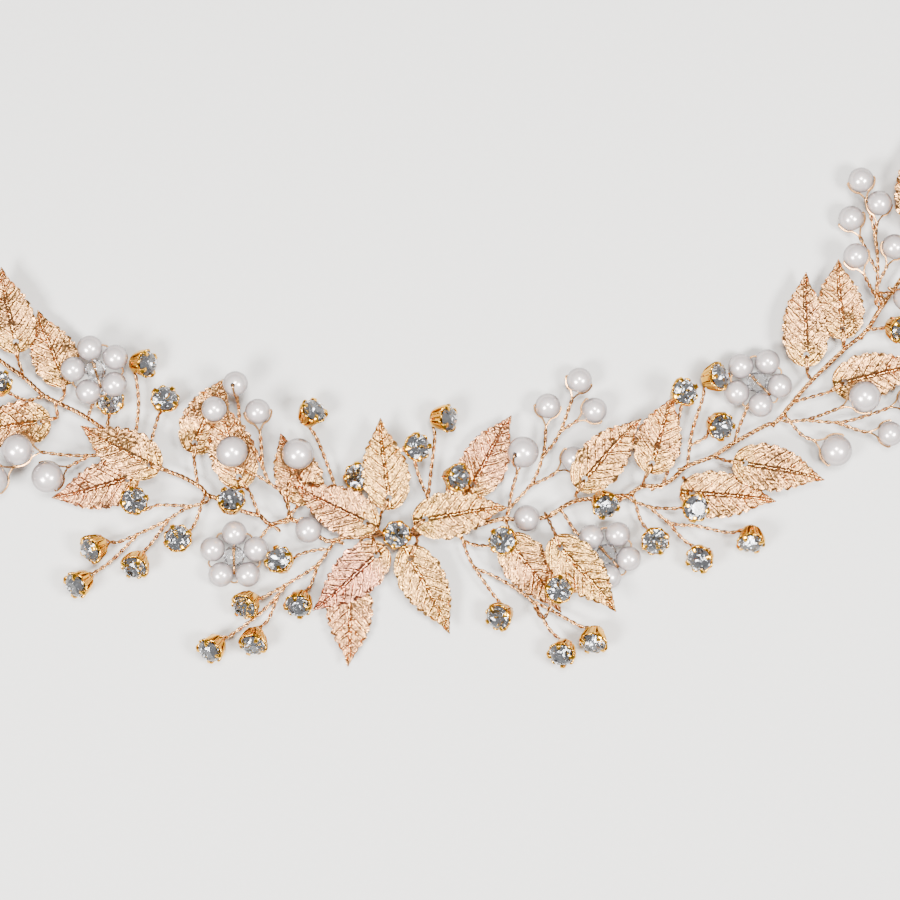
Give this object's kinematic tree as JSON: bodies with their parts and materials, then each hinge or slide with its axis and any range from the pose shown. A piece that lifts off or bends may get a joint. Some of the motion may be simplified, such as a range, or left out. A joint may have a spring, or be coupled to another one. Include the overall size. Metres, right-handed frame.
{
  "type": "bridal hair vine",
  "caption": "Wired bridal tiara worn as a hair vine: gilt leaves, pearls, pearl flowers and rhinestones in claw cups on a bendable twisted stem with a loop at each end.",
  "frame": {"origin": "centre of the flat base of the centre claw cup, on the surface the vine lies on", "axes": "+X along the vine to its right end, +Y towards the tips of the upper leaves, +Z out of the front face"},
  "size_m": [0.2296, 0.1136, 0.011],
  "materials": {
    "gilt_leaf": "stamped, champagne gold plated, satin",
    "gilt_wire": "drawn and twisted, rose gold plated",
    "gilt_cup": "stamped, yellow gold plated, bright",
    "pearl": "pearlescent lacquer",
    "stone": "cut and foiled"
  },
  "bodies": {
    "centre": {"stem_centre": "gilt_wire", "centre_cup": "gilt_cup", "centre_stone": "stone", "right_stem_pearl": "pearl", "right_stem_setting": "gilt_cup", "centre_top_stones": "gilt_wire", "right_stone_spray_inner": "gilt_wire", "right_pearl_spray": "pearl", "right_flower": "pearl"},
    "left_inner_arm": {"stem_left_inner": "gilt_wire", "left_stem_pearl": "pearl", "left_stem_setting": "gilt_cup", "left_stone_spray_inner": "gilt_wire"},
    "left_middle_arm": {"stem_left_middle": "gilt_wire", "left_top_stones": "gilt_wire", "left_low_stone": "gilt_wire", "far_left_pearl_spray": "pearl"},
    "left_outer_arm": {"stem_left_outer": "gilt_wire"},
    "right_inner_arm": {"stem_right_inner": "gilt_wire"},
    "right_middle_arm": {"stem_right_middle": "gilt_wire", "right_top_stones": "gilt_wire"},
    "right_outer_arm": {"stem_right_outer": "gilt_wire"},
    "left_stone_spray_outer": {"left_stone_spray_outer": "gilt_wire"},
    "left_pearl_spray": {"left_pearl_spray": "pearl"},
    "top_right_pearl_spray": {"top_right_pearl_spray": "pearl"},
    "far_right_pearl_spray": {"far_right_pearl_spray": "pearl"},
    "right_stone_spray_outer": {"right_stone_spray_outer": "gilt_wire"},
    "far_left_flower": {"far_left_flower": "pearl"},
    "left_flower": {"left_flower": "pearl"},
    "far_right_flower": {"far_right_flower": "pearl"},
    "left_end_spray": {"left_end_spray": "pearl"},
    "right_end_spray": {"right_end_spray": "pearl"},
    "leaf_centre_top": {"leaf_centre_top": "gilt_leaf"},
    "leaf_centre_left_upper": {"leaf_centre_left_upper": "gilt_leaf"},
    "leaf_centre_left_lower": {"leaf_centre_left_lower": "gilt_leaf"},
    "leaf_bottom_left": {"leaf_bottom_left": "gilt_leaf"},
    "leaf_bottom_right": {"leaf_bottom_right": "gilt_leaf"},
    "leaf_centre_right": {"leaf_centre_right": "gilt_leaf"},
    "leaf_right_upper": {"leaf_right_upper": "gilt_leaf"},
    "leaf_right_fan_left": {"leaf_right_fan_left": "gilt_leaf"},
    "leaf_right_fan_lower": {"leaf_right_fan_lower": "gilt_leaf"},
    "leaf_right_fan_bottom": {"leaf_right_fan_bottom": "gilt_leaf"},
    "leaf_left_fan_right": {"leaf_left_fan_right": "gilt_leaf"},
    "leaf_left_fan_middle": {"leaf_left_fan_middle": "gilt_leaf"},
    "leaf_left_fan_left": {"leaf_left_fan_left": "gilt_leaf"},
    "leaf_left_upper": {"leaf_left_upper": "gilt_leaf"},
    "leaf_left_lower": {"leaf_left_lower": "gilt_leaf"},
    "leaf_far_left_top": {"leaf_far_left_top": "gilt_leaf"},
    "leaf_far_left_middle": {"leaf_far_left_middle": "gilt_leaf"},
    "leaf_far_left_lower": {"leaf_far_left_lower": "gilt_leaf"},
    "leaf_left_end": {"leaf_left_end": "gilt_leaf"},
    "leaf_left_end_lower": {"leaf_left_end_lower": "gilt_leaf"},
    "leaf_right_fan_right": {"leaf_right_fan_right": "gilt_leaf"},
    "leaf_right_lower": {"leaf_right_lower": "gilt_leaf"},
    "leaf_right_mid": {"leaf_right_mid": "gilt_leaf"},
    "leaf_far_right_lower": {"leaf_far_right_lower": "gilt_leaf"},
    "leaf_far_right_upper": {"leaf_far_right_upper": "gilt_leaf"},
    "leaf_far_right_inner": {"leaf_far_right_inner": "gilt_leaf"},
    "leaf_top_right": {"leaf_top_right": "gilt_leaf"},
    "leaf_right_end": {"leaf_right_end": "gilt_leaf"}
  },
  "joints": [
    {"name": "left_inner_bend", "type": "hinge", "parent": "centre", "child": "left_inner_arm", "pos_m": [-0.01, -0.0006, 0.0026], "axis": [0, -1, 0], "range_deg": [0, 25]},
    {"name": "left_middle_bend", "type": "hinge", "parent": "left_inner_arm", "child": "left_middle_arm", "pos_m": [-0.0362, 0.0076, 0.0026], "axis": [-0.3746, -0.9272, 0], "range_deg": [0, 25]},
    {"name": "left_outer_bend", "type": "hinge", "parent": "left_middle_arm", "child": "left_outer_arm", "pos_m": [-0.0603, 0.023, 0.0026], "axis": [-0.5299, -0.848, 0], "range_deg": [0, 25]},
    {"name": "right_inner_bend", "type": "hinge", "parent": "centre", "child": "right_inner_arm", "pos_m": [0.0426, 0.0074, 0.0026], "axis": [0, 1, 0], "range_deg": [0, 25]},
    {"name": "right_middle_bend", "type": "hinge", "parent": "right_inner_arm", "child": "right_middle_arm", "pos_m": [0.0523, 0.0104, 0.0026], "axis": [-0.4695, 0.8829, 0], "range_deg": [0, 25]},
    {"name": "right_outer_bend", "type": "hinge", "parent": "right_middle_arm", "child": "right_outer_arm", "pos_m": [0.0769, 0.027, 0.0026], "axis": [-0.8387, 0.5446, 0], "range_deg": [0, 25]},
    {"name": "left_stone_spray_outer_lift", "type": "hinge", "parent": "left_middle_arm", "child": "left_stone_spray_outer", "pos_m": [-0.0364, 0.0062, 0.0026], "axis": [-0.4226, 0.9063, 0], "range_deg": [0, 15]},
    {"name": "left_pearl_spray_lift", "type": "hinge", "parent": "left_inner_arm", "child": "left_pearl_spray", "pos_m": [-0.0204, 0.0042, 0.0034], "axis": [0.8192, 0.5736, 0], "range_deg": [0, 15]},
    {"name": "top_right_pearl_spray_lift", "type": "hinge", "parent": "right_outer_arm", "child": "top_right_pearl_spray", "pos_m": [0.0912, 0.0444, 0.003], "axis": [0.9994, 0.0349, 0], "range_deg": [0, 15]},
    {"name": "far_right_pearl_spray_lift", "type": "hinge", "parent": "right_middle_arm", "child": "far_right_pearl_spray", "pos_m": [0.074, 0.0216, 0.0028], "axis": [0.0872, -0.9962, 0], "range_deg": [0, 15]},
    {"name": "right_stone_spray_outer_lift", "type": "hinge", "parent": "right_inner_arm", "child": "right_stone_spray_outer", "pos_m": [0.045, 0.0064, 0.0026], "axis": [-0.4226, -0.9063, 0], "range_deg": [0, 12]},
    {"name": "far_left_flower_lift", "type": "hinge", "parent": "left_middle_arm", "child": "far_left_flower", "pos_m": [-0.0586, 0.0228, 0.0036], "axis": [0.9659, -0.2588, 0], "range_deg": [0, 15]},
    {"name": "left_flower_lift", "type": "hinge", "parent": "left_inner_arm", "child": "left_flower", "pos_m": [-0.0246, 0.0012, 0.0026], "axis": [-0.5736, 0.8192, 0], "range_deg": [0, 15]},
    {"name": "far_right_flower_lift", "type": "hinge", "parent": "right_middle_arm", "child": "far_right_flower", "pos_m": [0.0646, 0.0189, 0.0028], "axis": [0.9272, -0.3746, 0], "range_deg": [0, 15]},
    {"name": "left_end_spray_lift", "type": "hinge", "parent": "left_outer_arm", "child": "left_end_spray", "pos_m": [-0.0928, 0.05, 0.0028], "axis": [0.2588, 0.9659, 0], "range_deg": [0, 15]},
    {"name": "right_end_spray_lift", "type": "hinge", "parent": "right_outer_arm", "child": "right_end_spray", "pos_m": [0.1086, 0.07, 0.0028], "axis": [0.342, -0.9397, 0], "range_deg": [0, 15]},
    {"name": "leaf_centre_top_swivel", "type": "hinge", "parent": "centre", "child": "leaf_centre_top", "pos_m": [-0.0015, 0.007, 0.00495], "axis": [0, 0, 1], "range_deg": [-6, 4]},
    {"name": "leaf_centre_left_upper_swivel", "type": "hinge", "parent": "centre", "child": "leaf_centre_left_upper", "pos_m": [-0.0058, 0.0024, 0.0049], "axis": [0, 0, 1], "range_deg": [-10, 7]},
    {"name": "leaf_centre_left_lower_swivel", "type": "hinge", "parent": "centre", "child": "leaf_centre_left_lower", "pos_m": [-0.0038, -0.0038, 0.0049], "axis": [0, 0, 1], "range_deg": [-3, 10]},
    {"name": "leaf_bottom_left_swivel", "type": "hinge", "parent": "centre", "child": "leaf_bottom_left", "pos_m": [-0.0091, -0.0099, 0.0022], "axis": [0, 0, 1], "range_deg": [-10, 10]},
    {"name": "leaf_bottom_right_swivel", "type": "hinge", "parent": "centre", "child": "leaf_bottom_right", "pos_m": [0.0026, -0.0044, 0.004], "axis": [0, 0, 1], "range_deg": [-10, 10]},
    {"name": "leaf_centre_right_swivel", "type": "hinge", "parent": "centre", "child": "leaf_centre_right", "pos_m": [0.0054, 0.003, 0.0048], "axis": [0, 0, 1], "range_deg": [-10, 6]},
    {"name": "leaf_right_upper_swivel", "type": "hinge", "parent": "centre", "child": "leaf_right_upper", "pos_m": [0.0145, 0.0095, 0.0028], "axis": [0, 0, 1], "range_deg": [-10, 10]},
    {"name": "leaf_right_fan_left_swivel", "type": "hinge", "parent": "centre", "child": "leaf_right_fan_left", "pos_m": [0.0356, 0.0106, 0.0059], "axis": [0, 0, 1], "range_deg": [-10, 10]},
    {"name": "leaf_right_fan_lower_swivel", "type": "hinge", "parent": "centre", "child": "leaf_right_fan_lower", "pos_m": [0.031, -0.0024, 0.0057], "axis": [0, 0, 1], "range_deg": [-10, 10]},
    {"name": "leaf_right_fan_bottom_swivel", "type": "hinge", "parent": "centre", "child": "leaf_right_fan_bottom", "pos_m": [0.022, -0.0021, 0.0036], "axis": [0, 0, 1], "range_deg": [-6, 10]},
    {"name": "leaf_left_fan_right_swivel", "type": "hinge", "parent": "left_inner_arm", "child": "leaf_left_fan_right", "pos_m": [-0.0172, 0.0076, 0.003], "axis": [0, 0, 1], "range_deg": [-3, 10]},
    {"name": "leaf_left_fan_middle_swivel", "type": "hinge", "parent": "left_inner_arm", "child": "leaf_left_fan_middle", "pos_m": [-0.03, 0.011, 0.0043], "axis": [0, 0, 1], "range_deg": [-10, 10]},
    {"name": "leaf_left_fan_left_swivel", "type": "hinge", "parent": "left_middle_arm", "child": "leaf_left_fan_left", "pos_m": [-0.0385, 0.0175, 0.0028], "axis": [0, 0, 1], "range_deg": [-10, 10]},
    {"name": "leaf_left_upper_swivel", "type": "hinge", "parent": "left_middle_arm", "child": "leaf_left_upper", "pos_m": [-0.0468, 0.0134, 0.005], "axis": [0, 0, 1], "range_deg": [-10, 10]},
    {"name": "leaf_left_lower_swivel", "type": "hinge", "parent": "left_middle_arm", "child": "leaf_left_lower", "pos_m": [-0.0514, 0.0106, 0.0028], "axis": [0, 0, 1], "range_deg": [-10, 10]},
    {"name": "leaf_far_left_top_swivel", "type": "hinge", "parent": "left_outer_arm", "child": "leaf_far_left_top", "pos_m": [-0.0722, 0.0366, 0.005], "axis": [0, 0, 1], "range_deg": [-10, 10]},
    {"name": "leaf_far_left_middle_swivel", "type": "hinge", "parent": "left_outer_arm", "child": "leaf_far_left_middle", "pos_m": [-0.0636, 0.0302, 0.003], "axis": [0, 0, 1], "range_deg": [-10, 10]},
    {"name": "leaf_far_left_lower_swivel", "type": "hinge", "parent": "left_outer_arm", "child": "leaf_far_left_lower", "pos_m": [-0.068, 0.0214, 0.003], "axis": [0, 0, 1], "range_deg": [-5, 10]},
    {"name": "leaf_left_end_swivel", "type": "hinge", "parent": "left_outer_arm", "child": "leaf_left_end", "pos_m": [-0.088, 0.0516, 0.0042], "axis": [0, 0, 1], "range_deg": [-10, 10]},
    {"name": "leaf_left_end_lower_swivel", "type": "hinge", "parent": "left_outer_arm", "child": "leaf_left_end_lower", "pos_m": [-0.0914, 0.0424, 0.0042], "axis": [0, 0, 1], "range_deg": [-10, 10]},
    {"name": "leaf_right_fan_right_swivel", "type": "hinge", "parent": "right_inner_arm", "child": "leaf_right_fan_right", "pos_m": [0.0485, 0.0136, 0.0042], "axis": [0, 0, 1], "range_deg": [-6, 10]},
    {"name": "leaf_right_lower_swivel", "type": "hinge", "parent": "right_middle_arm", "child": "leaf_right_lower", "pos_m": [0.0562, 0.008, 0.003], "axis": [0, 0, 1], "range_deg": [-10, 10]},
    {"name": "leaf_right_mid_swivel", "type": "hinge", "parent": "right_middle_arm", "child": "leaf_right_mid", "pos_m": [0.066, 0.0136, 0.0052], "axis": [0, 0, 1], "range_deg": [-10, 10]},
    {"name": "leaf_far_right_lower_swivel", "type": "hinge", "parent": "right_middle_arm", "child": "leaf_far_right_lower", "pos_m": [0.0852, 0.029, 0.003], "axis": [0, 0, 1], "range_deg": [-6, 10]},
    {"name": "leaf_far_right_upper_swivel", "type": "hinge", "parent": "right_outer_arm", "child": "leaf_far_right_upper", "pos_m": [0.0777, 0.0342, 0.0044], "axis": [0, 0, 1], "range_deg": [-10, 10]},
    {"name": "leaf_far_right_inner_swivel", "type": "hinge", "parent": "right_outer_arm", "child": "leaf_far_right_inner", "pos_m": [0.0848, 0.0392, 0.003], "axis": [0, 0, 1], "range_deg": [-10, 10]},
    {"name": "leaf_top_right_swivel", "type": "hinge", "parent": "right_outer_arm", "child": "leaf_top_right", "pos_m": [0.0994, 0.0596, 0.0044], "axis": [0, 0, 1], "range_deg": [-10, 10]},
    {"name": "leaf_right_end_swivel", "type": "hinge", "parent": "right_outer_arm", "child": "leaf_right_end", "pos_m": [0.1082, 0.0626, 0.0042], "axis": [0, 0, 1], "range_deg": [-10, 6]}
  ]
}
